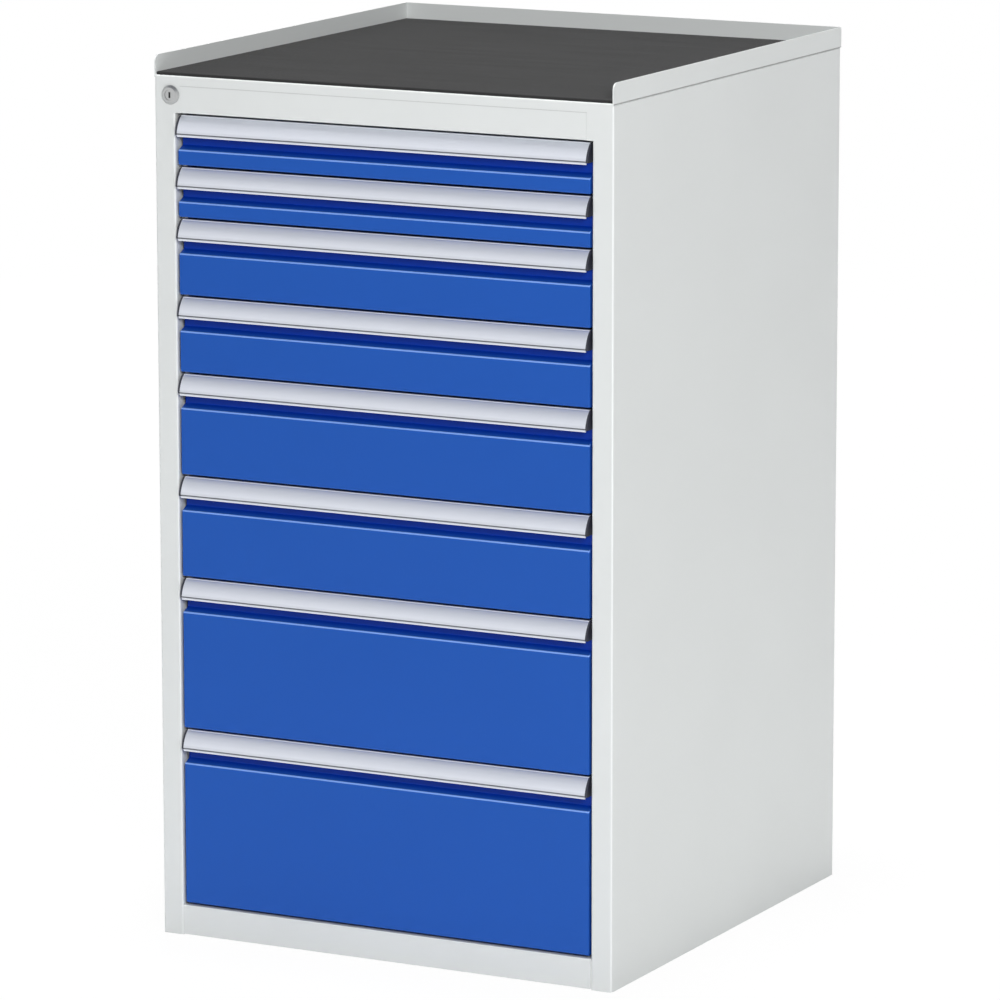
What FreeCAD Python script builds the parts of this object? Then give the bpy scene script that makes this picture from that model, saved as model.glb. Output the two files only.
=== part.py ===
import FreeCAD, Part
import math
import os

from FreeCAD import Vector

# A free-standing drawer cabinet with eight drawers on telescopic runners.
# Millimetres, +Z up, the fronts face -Y, +X is to the right of someone who stands before it.
# The origin is the middle of the floor face of the whole cabinet's box.

# Housing sizes
cabinet_width = 580.0
cabinet_depth = 600.0
cabinet_height = 1000.0
housing_sheet = 1.5
housing_bend = 1.0
bottom_rail_height = 35.8
rail_floor_gap = 1.2
stile_width = 26.0
stile_depth = 19.5
stile_lip = 8.0
header_height = 39.2
header_side_width = 33.0
flange_width = 22.0
seam_width = 0.25
seam_height_below_top = 10.0
header_return = 12.0
inner_fold = 20.0
panel_clearance = 1.5
tight_bend = 0.25
panel_top_radius = 1.6

# Height grid: each drawer takes a whole number of steps, from the top one to the bottom one
drawer_steps = [2, 2, 3, 3, 4, 4, 6, 7]
top_drawer_gap = 2.8

# Tray and mat on top
rim_height = 24.0
rim_front_radius = 8.0
rim_rear_radius = 3.0
rim_edge_radius = 1.3
rim_corner_notch = 0.5
tray_overhang = 2.0
tray_hem_drop = 1.5
mat_thickness = 3.5
mat_clearance = 0.5
mat_setback = 2.0

# Drawer fronts
front_side_gap = 3.3
front_lower_gap = 3.0
front_inset = 1.0
front_sheet = 1.5
front_bend = 0.8
front_edge_radius = 1.2
recess_depth = 10.0
recess_slope_height = 5.0
fold_below_top = 39.2

# Handles: the curve is an arc whose lower end, the foot, stands before the housing's front face
handle_reach = 5.2
handle_height = 23.5
handle_wall = 1.8
handle_radius = 34.0
handle_curve_depth = 10.0
handle_knee_drop = 0.9
handle_foot_margin = 0.2
handle_groove_drop = 20.3
handle_groove_depth = 1.0
handle_groove_width = 1.5
handle_line_depth = 0.4
handle_line_width = 0.8
handle_lip_setback = 0.4
handle_lip_radius = 0.8
handle_flange = 9.0
cap_thickness = 2.2
cap_height = 21.6
cap_corner_radius = 1.6

# Drawer boxes
box_sheet = 1.0
box_lift = 6.0
box_below_top = 9.4
box_length = 560.0
box_hem = 1.0
box_hem_height = 6.0

# Telescopic runners
runner_thickness = 12.7
runner_height = 35.0
runner_sheet = 1.2
runner_depth = 10.0
runner_length = 550.0
runner_gap = 1.0
runner_above_box = 2.0
runner_play = 0.6
middle_depth = 6.4
middle_inset = 4.5
middle_edge_clearance = 0.6
drawer_runner_depth = 5.7

# Slotted posts
post_width = 36.0
post_sheet = 1.5
post_gap = 1.5
slot_height = 12.0
slot_width = 3.0
slot_edge = 9.0
hook_height = 8.0
hook_clearance = 0.3
hook_length = 3.0

# Lock
lock_from_side = 21.0
lock_below_top = 20.4
lock_flange_radius = 11.0
lock_flange_depth = 3.5
lock_flange_chamfer = 2.4
lock_barrel_radius = 9.0
lock_barrel_length = 12.0
lock_hole_clearance = 0.2
plug_radius = 6.0
plug_clearance = 0.04
plug_recess = 0.8
keyway_width = 2.4
keyway_height = 6.6
keyway_depth = 8.0
cam_radius = 12.5
cam_thickness = 2.0
cam_gap = 0.3
cam_clearance = 1.5
pin_orbit = 10.0
pin_radius = 2.0
pin_end_play = 1.0
pin_slot_play = 0.45

# Lock bar and catches
bar_thickness = 2.0
bar_play = 0.3
bar_wall_gap = 2.0
bar_stile_gap = 1.1
bar_top_margin = 3.0
bar_end_gap = 25.0
tab_height = 5.0
tab_reach = 7.0
tab_slot_clearance = 1.0
catch_below_edge = 0.5
catch_gap = 0.3
catch_clearance = 1.5

# How far a cutting shape stands out of what it cuts
cut_margin = 1.0
# Distance below which two places count as the same
tolerance = 0.001

# Places that follow from the sizes above
half_width = cabinet_width / 2
opening_half = half_width - stile_width
header_half = half_width - header_side_width
inner_half = half_width - housing_sheet
handle_foot_drop = handle_groove_drop - handle_groove_width / 2 - handle_foot_margin
handle_curve_height = handle_foot_drop - handle_knee_drop
handle_tilt = math.degrees(math.atan2(handle_curve_depth, handle_curve_height))
handle_half_turn = math.degrees(math.asin(math.hypot(handle_curve_depth, handle_curve_height)
                                          / 2 / handle_radius))
handle_upper_angle = handle_tilt + handle_half_turn
handle_lower_angle = handle_tilt - handle_half_turn
handle_centre_drop = handle_knee_drop + handle_radius * math.sin(math.radians(handle_upper_angle))
handle_centre_depth = handle_radius * math.cos(math.radians(handle_lower_angle)) - handle_reach
front_y = (handle_reach - cabinet_depth - tray_overhang) / 2
back_y = front_y + cabinet_depth
tray_rear = back_y + tray_overhang
front_top = cabinet_height - tray_hem_drop
opening_bottom = bottom_rail_height
opening_top = front_top - header_height
grid_height = opening_top - top_drawer_gap - opening_bottom
grid_step = grid_height / sum(drawer_steps)
tray_floor = cabinet_height + housing_sheet
rim_top = cabinet_height + rim_height
back_inner = back_y - 2 * housing_sheet
recess_y = front_y + front_inset + recess_depth
box_front = recess_y + front_sheet
runner_wall = opening_half + stile_lip / 2
box_half = runner_wall - runner_thickness
front_half = opening_half - front_side_gap
front_post_start = front_y + stile_depth + post_gap
runner_start = front_y + stile_depth + runner_gap
rear_post_start = runner_start + runner_length - post_width
pin_height = pin_orbit * math.sin(math.radians(45))
bar_stroke = 2 * pin_height
lock_x = -(half_width - lock_from_side)
lock_z = cabinet_height - lock_below_top
lip_y = front_y + stile_depth - housing_sheet
bar_back = lip_y - bar_play
bar_front = bar_back - bar_thickness


def floors():
    """Lower boundary of each drawer's share of the opening, from the top drawer to the bottom one."""
    levels = []
    level = opening_bottom + grid_height
    for steps in drawer_steps:
        level -= steps * grid_step
        levels.append(level)
    return levels


def tops():
    """Upper boundary of each drawer's share of the opening, which is the top of its handle."""
    return [floor + steps * grid_step for floor, steps in zip(floors(), drawer_steps)]


def runner_centre(floor):
    """Height of the middle of a drawer's runners."""
    return floor + box_lift + runner_above_box + runner_height / 2


# Flat outlines and sheet sections

def place(axis, along, a, b):
    """Space point of the flat point (a, b) in the plane that crosses the axis at along."""
    if axis == "x":
        return Vector(along, a, b)
    if axis == "y":
        return Vector(a, along, b)
    return Vector(a, b, along)


def flat(points):
    return [Vector(a, b, 0) for a, b in points]


def rounded_corner(before, corner, after, radius):
    """Start, middle and end of the arc that rounds a corner of a flat outline."""
    back = (before - corner).normalize()
    ahead = (after - corner).normalize()
    half_angle = back.getAngle(ahead) / 2
    reach = radius / math.tan(half_angle)
    bisector = (back + ahead).normalize()
    middle = corner + bisector * (radius / math.sin(half_angle) - radius)
    return corner + back * reach, middle, corner + ahead * reach


def side_edges(points, radii, axis, along):
    """Edges of a flat line through the points, with each inner point rounded by its radius."""
    edges = []
    start = points[0]
    for index in range(1, len(points)):
        last = index == len(points) - 1
        radius = 0 if last else radii[index]
        if radius > 0:
            arc = rounded_corner(points[index - 1], points[index], points[index + 1], radius)
        else:
            arc = (points[index], None, points[index])
        ends = [place(axis, along, p.x, p.y) for p in (start, arc[0])]
        if (ends[0] - ends[1]).Length > tolerance:
            edges.append(Part.makeLine(*ends))
        if radius > 0:
            bend = [place(axis, along, p.x, p.y) for p in arc]
            edges.append(Part.Arc(*bend).toShape())
        start = arc[2]
    return edges


def along_axis(axis, length):
    return place(axis, length, 0, 0)


def prism(points, axis, start, end, radii=None):
    """Solid with a closed outline across the axis. radii rounds the corners, point by point."""
    corners = flat(points)
    radii = radii or [0] * len(corners)
    middle = (corners[0] + corners[-1]) / 2
    loop = [middle] + corners + [middle]
    edges = side_edges(loop, [0] + list(radii) + [0], axis, start)
    face = Part.Face(Part.Wire(edges))
    return face.extrude(along_axis(axis, end - start))


def offset_line(points, distance):
    """The line moved sideways by distance, to its left if positive, with mitred corners."""
    normals = []
    for first, second in zip(points, points[1:]):
        step = (second - first).normalize()
        normals.append(Vector(-step.y, step.x, 0))
    moved = [points[0] + normals[0] * distance]
    for index in range(1, len(points) - 1):
        first, second = normals[index - 1], normals[index]
        moved.append(points[index] + (first + second) * (distance / (1 + first.dot(second))))
    moved.append(points[-1] + normals[-1] * distance)
    return moved


def bent_sheet(points, thickness, bend, axis, start, end):
    """Sheet bent along an outer line, with its material on the right of the line."""
    outer = flat(points)
    inner = offset_line(outer, -thickness)
    outer_radii = [0] * len(outer)
    inner_radii = [0] * len(outer)
    for index in range(1, len(outer) - 1):
        turn = (outer[index] - outer[index - 1]).cross(outer[index + 1] - outer[index]).z
        turns_inward = turn < 0
        outer_radii[index] = bend + thickness if turns_inward else bend
        inner_radii[index] = bend if turns_inward else bend + thickness
    edges = side_edges(outer, outer_radii, axis, start)
    ends = [place(axis, start, p.x, p.y) for p in (outer[-1], inner[-1], inner[0], outer[0])]
    edges.append(Part.makeLine(ends[0], ends[1]))
    edges += side_edges(inner[::-1], inner_radii[::-1], axis, start)
    edges.append(Part.makeLine(ends[2], ends[3]))
    face = Part.Face(Part.Wire(Part.__sortEdges__(edges)))
    return face.extrude(along_axis(axis, end - start))


def block(low_x, high_x, low_y, high_y, low_z, high_z):
    corner = Vector(low_x, low_y, low_z)
    return Part.makeBox(high_x - low_x, high_y - low_y, high_z - low_z, corner)


def rod_y(x, z, radius, low_y, high_y):
    """Round bar along Y."""
    return Part.makeCylinder(radius, high_y - low_y, Vector(x, low_y, z), Vector(0, 1, 0))


def mirrored(shape):
    """The same shape on the other side of the cabinet's middle."""
    return shape.mirror(Vector(0, 0, 0), Vector(1, 0, 0))


def both_sides(shape):
    return Part.makeCompound([shape, mirrored(shape)])


def joined(shapes):
    return shapes[0].fuse(shapes[1:]).removeSplitter()


def straight_edges(shape, is_wanted):
    """Edges of a shape whose both ends pass a test."""
    return [edge for edge in shape.Edges
            if len(edge.Vertexes) == 2 and all(is_wanted(vertex.Point) for vertex in edge.Vertexes)]


# Housing

def side_panel():
    """Right side panel: rear flange, wall, front stile with its return and lip, top and bottom flange."""
    section = [
        (half_width - flange_width, back_y),
        (half_width, back_y),
        (half_width, front_y),
        (opening_half, front_y),
        (opening_half, front_y + stile_depth),
        (opening_half + stile_lip, front_y + stile_depth),
    ]
    wall = bent_sheet(section, housing_sheet, housing_bend, "z", 0, cabinet_height)
    stile_face_end = front_y + housing_sheet
    inner_start = half_width - flange_width
    bottom = block(inner_start, inner_half, stile_face_end, back_y - housing_sheet, 0, housing_sheet)
    top = block(inner_start, inner_half, stile_face_end, back_y - housing_sheet,
                cabinet_height - housing_sheet, cabinet_height)
    header_side = block(header_half, half_width - flange_width, front_y, stile_face_end,
                        opening_top, front_top)
    return_end = lock_z - cam_radius - cam_clearance
    above_return = block(opening_half - housing_sheet, inner_start + stile_lip, stile_face_end,
                         front_y + stile_depth + housing_sheet, return_end, cabinet_height - housing_sheet)
    hem_room = block(0, half_width, front_y, stile_face_end + tight_bend, front_top, rim_top)
    panel = joined([wall.cut(above_return), bottom, top, header_side]).cut(hem_room)
    rounded_top = prism([(0, 0), (half_width, 0), (half_width, cabinet_height), (0, cabinet_height)],
                        "y", front_y, back_y, [0, 0, panel_top_radius, 0])
    return panel.common(rounded_top)


def catch_level(top):
    """Lower edge of the catch of the drawer whose share of the opening ends at top."""
    return top - box_below_top - catch_below_edge - tab_height


def tab_levels():
    """Lower edge of each lock tab in the locked position."""
    return [catch_level(top) for top in tops()]


def left_side_panel():
    """Left side panel: the right one mirrored, with the lock's hole and the slots for the lock tabs."""
    cuts = [rod_y(lock_x, lock_z, lock_barrel_radius + lock_hole_clearance,
                  front_y - housing_sheet, front_y + 2 * housing_sheet)]
    for level in tab_levels():
        cuts.append(block(-opening_half - 2 * housing_sheet, -opening_half + housing_sheet,
                          bar_front - bar_play, lip_y,
                          level - tab_slot_clearance,
                          level + tab_height + bar_stroke + tab_slot_clearance))
    return mirrored(side_panel()).cut(Part.makeCompound(cuts))


def back_panel():
    """Flat sheet behind the rear folds of the top and base panel, inside the side panels' flanges."""
    half = inner_half - panel_clearance
    return block(-half, half, back_inner, back_inner + housing_sheet,
                 housing_sheet, cabinet_height - housing_sheet)


def base_panel():
    """Inverted pan: floor sheet with the bottom rail in front and folds at both sides and the rear."""
    rail_half = opening_half - seam_width
    rail = [
        (front_y, rail_floor_gap),
        (front_y, bottom_rail_height),
        (front_post_start, bottom_rail_height),
    ]
    front = bent_sheet(rail, housing_sheet, housing_bend, "x", -rail_half, rail_half)
    side = runner_wall
    start = front_post_start
    under = bottom_rail_height - housing_sheet
    floor = block(-side, side, start, back_inner, under, bottom_rail_height)
    rear = block(-side, side, back_inner - housing_sheet, back_inner, housing_sheet, bottom_rail_height)
    left = block(-side, -side + housing_sheet, start, back_inner, housing_sheet, bottom_rail_height)
    right = block(side - housing_sheet, side, start, back_inner, housing_sheet, bottom_rail_height)
    return joined([front, floor, rear, left, right])


def top_panel():
    """Top sheet with the header in front and a fold at the rear. The header's joint line is a fine groove."""
    header = bent_sheet(
        [(front_y + header_return, opening_top), (front_y, opening_top), (front_y, front_top)],
        housing_sheet, housing_bend, "x", -header_half, header_half)
    under = front_top - housing_sheet
    strip = block(-header_half, header_half, front_y, front_y + 2 * housing_sheet, under, front_top)
    half = inner_half - panel_clearance
    sheet = block(-half, half, front_y + housing_sheet, back_inner, under, front_top)
    rear = block(-header_half, header_half, back_inner - housing_sheet, back_inner,
                 front_top - inner_fold, front_top)
    seam_level = cabinet_height - seam_height_below_top
    cuts = [block(-header_half, header_half, front_y, front_y + seam_width,
                  seam_level, seam_level + seam_width)]
    for side in (-1, 1):
        edge = side * header_half
        inner_edge = edge - side * seam_width
        cuts.append(block(min(edge, inner_edge), max(edge, inner_edge), front_y,
                          front_y + seam_width, opening_top, seam_level))
    return joined([header, strip, sheet, rear]).cut(Part.makeCompound(cuts))


def top_tray():
    """Tray: floor sheet, front hem, and rims left, right and rear that are welded at the rear corners."""
    hem = bent_sheet(
        [(front_y, front_top), (front_y, tray_floor), (front_y + inner_fold, tray_floor)],
        housing_sheet, tight_bend, "x", -half_width, half_width)
    floor = block(-half_width + rim_edge_radius, half_width - rim_edge_radius,
                  front_y + inner_fold / 2, tray_rear - rim_edge_radius, cabinet_height, tray_floor)
    rim_end = tray_rear - rim_corner_notch
    side_view = prism(
        [(front_y, cabinet_height), (rim_end, cabinet_height), (rim_end, rim_top), (front_y, rim_top)],
        "x", inner_half, half_width, [0, 0, rim_rear_radius, rim_front_radius])
    front_view = prism(
        [(inner_half, cabinet_height), (half_width, cabinet_height),
         (half_width, rim_top), (inner_half, rim_top)],
        "y", front_y, rim_end, [0, rim_edge_radius, 0, 0])
    side_rim = side_view.common(front_view)
    rear_half = half_width - rim_corner_notch
    rear_rim = prism(
        [(tray_rear - housing_sheet, cabinet_height), (tray_rear, cabinet_height),
         (tray_rear, rim_top), (tray_rear - housing_sheet, rim_top)],
        "x", -rear_half, rear_half, [0, rim_edge_radius, 0, 0])
    return joined([hem, floor, side_rim, mirrored(side_rim), rear_rim])


def ribbed_mat():
    """Rubber mat between the rims, as a plain slab up to the crests of its ribs."""
    half = inner_half - mat_clearance
    return block(-half, half, front_y + mat_setback, tray_rear - housing_sheet - mat_clearance,
                 tray_floor, tray_floor + mat_thickness)


def post_starts():
    return [front_post_start, rear_post_start]


def slot_places(start):
    """Y of the lower edge of the two slot columns in a post that starts at start."""
    return [start + slot_edge, start + post_width - slot_edge - slot_width]


def slotted_post(start):
    """U-shaped post on the right side, open towards the side panel, with a slot pair on each grid line."""
    section = [
        (inner_half, start),
        (runner_wall, start),
        (runner_wall, start + post_width),
        (inner_half, start + post_width),
    ]
    bottom = housing_sheet
    top = front_top - housing_sheet
    post = bent_sheet(section, post_sheet, housing_bend, "z", bottom, top)
    cuts = []
    for step in range(sum(drawer_steps)):
        centre = runner_centre(opening_bottom + step * grid_step)
        for slot_y in slot_places(start):
            cuts.append(block(runner_wall - post_sheet, runner_wall + 2 * post_sheet,
                              slot_y, slot_y + slot_width,
                              centre - slot_height / 2, centre + slot_height / 2))
    return post.cut(Part.makeCompound(cuts))


def slotted_posts():
    """Four posts that carry the cabinet runners."""
    posts = []
    for start in post_starts():
        post = slotted_post(start)
        posts += [post, mirrored(post)]
    return Part.makeCompound(posts)


# Runners

def channel(wall_x, open_x, half_height, sheet, low_y, high_y, centre):
    """C-shaped runner member along Y, with its web at wall_x and its flanges reaching to open_x."""
    section = [
        (open_x, centre + half_height),
        (wall_x, centre + half_height),
        (wall_x, centre - half_height),
        (open_x, centre - half_height),
    ]
    if open_x > wall_x:
        section = section[::-1]
    return bent_sheet(section, sheet, tight_bend, "y", low_y, high_y)


def cabinet_runner(floor):
    """Outer runner member on the right side, with hooks in the slots of both posts."""
    centre = runner_centre(floor)
    member = channel(runner_wall, runner_wall - runner_depth, runner_height / 2, runner_sheet,
                     runner_start, runner_start + runner_length, centre)
    hooks = []
    for start in post_starts():
        for slot_y in slot_places(start):
            hooks.append(block(runner_wall - runner_sheet / 2, runner_wall + hook_length,
                               slot_y + hook_clearance, slot_y + slot_width - hook_clearance,
                               centre - hook_height / 2, centre + hook_height / 2))
    return joined([member] + hooks)


def cabinet_runners():
    """All outer runner members, a pair for each drawer."""
    return Part.makeCompound([both_sides(cabinet_runner(floor)) for floor in floors()])


def middle_half_height():
    return runner_height / 2 - runner_sheet - runner_play


def slide_middle(floor):
    """Middle runner members of one drawer, nested in the outer ones and free of the stiles."""
    wall = opening_half - middle_edge_clearance
    low_y = runner_start + middle_inset
    high_y = runner_start + runner_length - middle_inset
    member = channel(wall, wall - middle_depth, middle_half_height(), runner_sheet,
                     low_y, high_y, runner_centre(floor))
    return both_sides(member)


def drawer_runner(floor):
    """Inner runner members of one drawer, on the sides of its box."""
    half_height = middle_half_height() - runner_sheet - runner_play
    member = channel(box_half, box_half + drawer_runner_depth, half_height, runner_sheet,
                     runner_start, runner_start + runner_length, runner_centre(floor))
    return both_sides(member)


# Drawers

def drawer_box(floor, top):
    """Open sheet box with a hemmed upper edge, and the catch lug welded to the hem for the lock tab."""
    bottom = floor + box_lift
    edge = top - box_below_top
    rear = box_front + box_length
    outside = block(-box_half, box_half, box_front, rear, bottom, edge)
    hem = block(-box_half - box_hem, box_half + box_hem, box_front, rear + box_hem,
                edge - box_hem_height, edge)
    inside = block(-box_half + box_sheet, box_half - box_sheet, box_front + box_sheet,
                   rear - box_sheet, bottom + box_sheet, edge + box_sheet)
    catch_low = catch_level(top)
    catch = block(-opening_half + catch_clearance, -box_half - box_hem, bar_back + catch_gap,
                  runner_start - catch_gap, catch_low, catch_low + tab_height)
    return Part.makeCompound([joined([outside, hem]).cut(inside), catch])


def drawer_front(floor, top):
    """Folded front: face, slope to the recess under the handle, recess wall, and end plates."""
    face_y = front_y + front_inset
    low = floor + front_lower_gap
    fold = top - fold_below_top
    section = [
        (box_front, low),
        (face_y, low),
        (face_y, fold),
        (recess_y, fold + recess_slope_height),
        (recess_y, top),
    ]
    shell = bent_sheet(section, front_sheet, front_bend, "x", -front_half, front_half)
    plate_inset = front_sheet / 2
    plate_outline = [
        (box_front, low + plate_inset),
        (face_y + plate_inset, low + plate_inset),
        (face_y + plate_inset, fold),
        (recess_y + plate_inset, fold + recess_slope_height),
        (box_front, fold + recess_slope_height),
    ]
    plate = prism(plate_outline, "x", front_half - front_sheet, front_half)
    front = joined([shell, plate, mirrored(plate)])
    upright = straight_edges(front, lambda p: abs(abs(p.x) - front_half) < tolerance
                             and abs(p.y - face_y) < tolerance)
    return front.makeFillet(front_edge_radius, upright)


def curve_point(top, radius, angle):
    """Point of the handle's curve, at an angle above the level of the curve's centre."""
    turn = math.radians(angle)
    centre_y = front_y + handle_centre_depth
    return centre_y - radius * math.cos(turn), top - handle_centre_drop + radius * math.sin(turn)


def curve(top, radius, plane_x):
    """Arc of the handle's curve with the given radius, from its upper to its lower end."""
    angles = [handle_upper_angle, handle_tilt, handle_lower_angle]
    points = [curve_point(top, radius, angle) for angle in angles]
    return Part.Arc(*[place("x", plane_x, y, z) for y, z in points]).toShape()


def handle(top):
    """Curved pull over the whole front, open at its rear and below, with a lip along its lower edge."""
    low = top - handle_height
    groove = top - handle_groove_drop
    inner_radius = handle_radius - handle_wall
    knee = curve_point(top, handle_radius, handle_upper_angle)
    curve_end = curve_point(top, handle_radius, handle_lower_angle)
    inner_knee = curve_point(top, inner_radius, handle_upper_angle)
    inner_end = curve_point(top, inner_radius, handle_lower_angle)
    lip_face = curve_end[0] + handle_lip_setback
    lower_line = [
        curve_end,
        (curve_end[0], groove + handle_groove_width / 2),
        (curve_end[0] + handle_groove_depth, groove),
        (curve_end[0], groove - handle_groove_width / 2),
        (lip_face, low),
        (lip_face + handle_wall, low),
        inner_end,
    ]
    upper_line = [
        inner_knee,
        (recess_y - handle_wall, top - handle_wall),
        (recess_y - handle_wall, top - handle_flange),
        (recess_y, top - handle_flange),
        (recess_y, top),
        (knee[0] + handle_line_width, top),
        (knee[0] + handle_line_width / 2, knee[1] - handle_line_depth),
        knee,
    ]
    start = -front_half + cap_thickness
    edges = side_edges(flat(lower_line), [0, 0, 0, 0, handle_lip_radius, 0, 0], "x", start)
    edges += side_edges(flat(upper_line), [0] * len(upper_line), "x", start)
    edges += [curve(top, handle_radius, start), curve(top, inner_radius, start)]
    face = Part.Face(Part.Wire(Part.__sortEdges__(edges)))
    return face.extrude(Vector(-2 * start, 0, 0))


def handle_caps(top):
    """Plastic plates that close both ends of the handle."""
    low = top - cap_height
    curve_end = curve_point(top, handle_radius, handle_lower_angle)
    outline = [
        curve_end,
        (curve_end[0], low),
        (recess_y, low),
        (recess_y, top),
        curve_point(top, handle_radius, handle_upper_angle),
    ]
    start = front_half - cap_thickness
    edges = side_edges(flat(outline), [0, cap_corner_radius, 0, 0, 0], "x", start)
    edges.append(curve(top, handle_radius, start))
    face = Part.Face(Part.Wire(Part.__sortEdges__(edges)))
    return both_sides(face.extrude(Vector(cap_thickness, 0, 0)))


# Lock

def lock_housing():
    """Round lock body through the left stile, with a chamfered collar on the outside."""
    face = front_y - lock_flange_depth
    collar = rod_y(lock_x, lock_z, lock_flange_radius, face, front_y)
    rim = [edge for edge in collar.Edges if abs(edge.CenterOfMass.y - face) < tolerance]
    collar = collar.makeChamfer(lock_flange_chamfer, rim)
    barrel = rod_y(lock_x, lock_z, lock_barrel_radius, front_y - lock_flange_depth / 2,
                   front_y + lock_barrel_length)
    bore = rod_y(lock_x, lock_z, plug_radius + plug_clearance,
                 face - cut_margin, front_y + lock_barrel_length + cut_margin)
    return joined([collar, barrel]).cut(bore)


def lock_plug():
    """Turning plug with its keyway, the cam behind the housing and the pin that moves the lock bar."""
    face = front_y - lock_flange_depth + plug_recess
    cam_start = front_y + lock_barrel_length + cam_gap
    plug = rod_y(lock_x, lock_z, plug_radius, face, cam_start)
    cam = rod_y(lock_x, lock_z, cam_radius, cam_start, cam_start + cam_thickness)
    pin = rod_y(lock_x - pin_height, lock_z + pin_height, pin_radius,
                cam_start, bar_back + pin_end_play)
    keyway = block(lock_x - keyway_width / 2, lock_x + keyway_width / 2, face - cut_margin,
                   face + keyway_depth, lock_z - keyway_height / 2, lock_z + keyway_height / 2)
    return joined([plug, cam, pin]).cut(keyway)


def lock_bar():
    """Upright bar in the left stile, raised as when unlocked, and the tabs welded to its inner edge."""
    outer = -inner_half + bar_wall_gap
    inner = -opening_half - housing_sheet - bar_stile_gap
    pin_level = lock_z + pin_height
    half_slot = pin_radius + pin_slot_play
    bar = block(outer, inner, bar_front, bar_back, opening_bottom + bar_end_gap,
                pin_level + half_slot + bar_top_margin)
    tabs = []
    for level in tab_levels():
        tabs.append(block(inner, -opening_half + tab_reach, bar_front, bar_back,
                          level + bar_stroke, level + bar_stroke + tab_height))
    slot = block(lock_x - pin_orbit - half_slot, lock_x - pin_height + half_slot,
                 bar_front - cut_margin, bar_back + cut_margin,
                 pin_level - half_slot, pin_level + half_slot)
    return Part.makeCompound([bar.cut(slot)] + tabs)


def save(name, shape):
    shape.exportStep(os.path.join("parts", name + ".step"))


os.makedirs("parts", exist_ok=True)
save("side_panel_right", side_panel())
save("side_panel_left", left_side_panel())
save("back_panel", back_panel())
save("base_panel", base_panel())
save("top_panel", top_panel())
save("top_tray", top_tray())
save("ribbed_mat", ribbed_mat())
save("slotted_posts", slotted_posts())
save("cabinet_runners", cabinet_runners())
save("lock_housing", lock_housing())
save("lock_plug", lock_plug())
save("lock_bar", lock_bar())

for number, (floor, top) in enumerate(zip(floors(), tops()), start=1):
    save(f"drawer_{number}_box", drawer_box(floor, top))
    save(f"drawer_{number}_front", drawer_front(floor, top))
    save(f"drawer_{number}_handle", handle(top))
    save(f"drawer_{number}_handle_caps", handle_caps(top))
    save(f"drawer_{number}_runner", drawer_runner(floor))
    save(f"slide_{number}_middle", slide_middle(floor))
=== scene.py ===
"""Looks of a drawer cabinet with eight drawers: finishes, ribbed mat, handles, studio and camera.

Metres, +Z up, the fronts face -Y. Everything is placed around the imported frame.
"""

from __future__ import annotations

import logging
import math
from dataclasses import dataclass, field
from enum import Enum

import bpy
import numpy as np
from mathutils import Matrix, Vector

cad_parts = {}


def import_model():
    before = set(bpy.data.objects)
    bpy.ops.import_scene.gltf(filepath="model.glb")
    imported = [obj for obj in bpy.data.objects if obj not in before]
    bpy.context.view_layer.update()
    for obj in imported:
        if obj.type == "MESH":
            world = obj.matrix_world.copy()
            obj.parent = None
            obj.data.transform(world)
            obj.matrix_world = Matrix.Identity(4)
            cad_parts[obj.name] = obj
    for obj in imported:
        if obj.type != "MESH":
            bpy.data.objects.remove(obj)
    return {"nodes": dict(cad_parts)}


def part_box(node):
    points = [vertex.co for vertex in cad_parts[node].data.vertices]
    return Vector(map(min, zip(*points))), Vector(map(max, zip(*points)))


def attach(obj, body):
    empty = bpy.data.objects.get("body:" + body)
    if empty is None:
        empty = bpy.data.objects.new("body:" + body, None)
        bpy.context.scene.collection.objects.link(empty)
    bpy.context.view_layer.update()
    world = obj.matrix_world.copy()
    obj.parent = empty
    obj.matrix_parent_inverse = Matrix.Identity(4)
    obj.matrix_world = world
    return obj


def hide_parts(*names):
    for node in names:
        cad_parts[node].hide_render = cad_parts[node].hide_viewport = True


log = logging.getLogger("cabinet")

Colour = tuple[float, float, float]
SHADE_MARK = "mark"
DRAWERS = range(1, 9)


# Shader maths


class Signal:
    """A shader socket that takes part in Python sums."""

    def __init__(self, shader: Shader, socket: bpy.types.NodeSocket) -> None:
        """Wrap a socket.

        Args:
            shader: The node tree that the sum's nodes go to.
            socket: The output socket that carries the value.
        """
        self.shader = shader
        self.socket = socket

    def __add__(self, other: Signal | float) -> Signal:
        """Sum of both."""
        return self.shader.maths("ADD", self, other)

    def __sub__(self, other: Signal | float) -> Signal:
        """This less the other."""
        return self.shader.maths("SUBTRACT", self, other)

    def __rsub__(self, other: float) -> Signal:
        """The other less this."""
        return self.shader.maths("SUBTRACT", other, self)

    def __mul__(self, other: Signal | float) -> Signal:
        """Product of both."""
        return self.shader.maths("MULTIPLY", self, other)

    def __truediv__(self, other: Signal | float) -> Signal:
        """This divided by the other."""
        return self.shader.maths("DIVIDE", self, other)

    def __rtruediv__(self, other: float) -> Signal:
        """The other divided by this."""
        return self.shader.maths("DIVIDE", other, self)

    __radd__ = __add__
    __rmul__ = __mul__

    def clamped(self) -> Signal:
        """This value kept between 0 and 1."""
        return self.shader.maths("MULTIPLY", self, 1.0, clamp=True)

    def absolute(self) -> Signal:
        """This value without its sign."""
        return self.shader.maths("ABSOLUTE", self, 0.0)

    def larger(self, other: Signal | float) -> Signal:
        """The larger of both."""
        return self.shader.maths("MAXIMUM", self, other)

    def step(self, low: float, high: float) -> Signal:
        """Straight rise from 0 at low to 1 at high, where low may be the larger one."""
        return ((self - low) / (high - low)).clamped()


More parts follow.
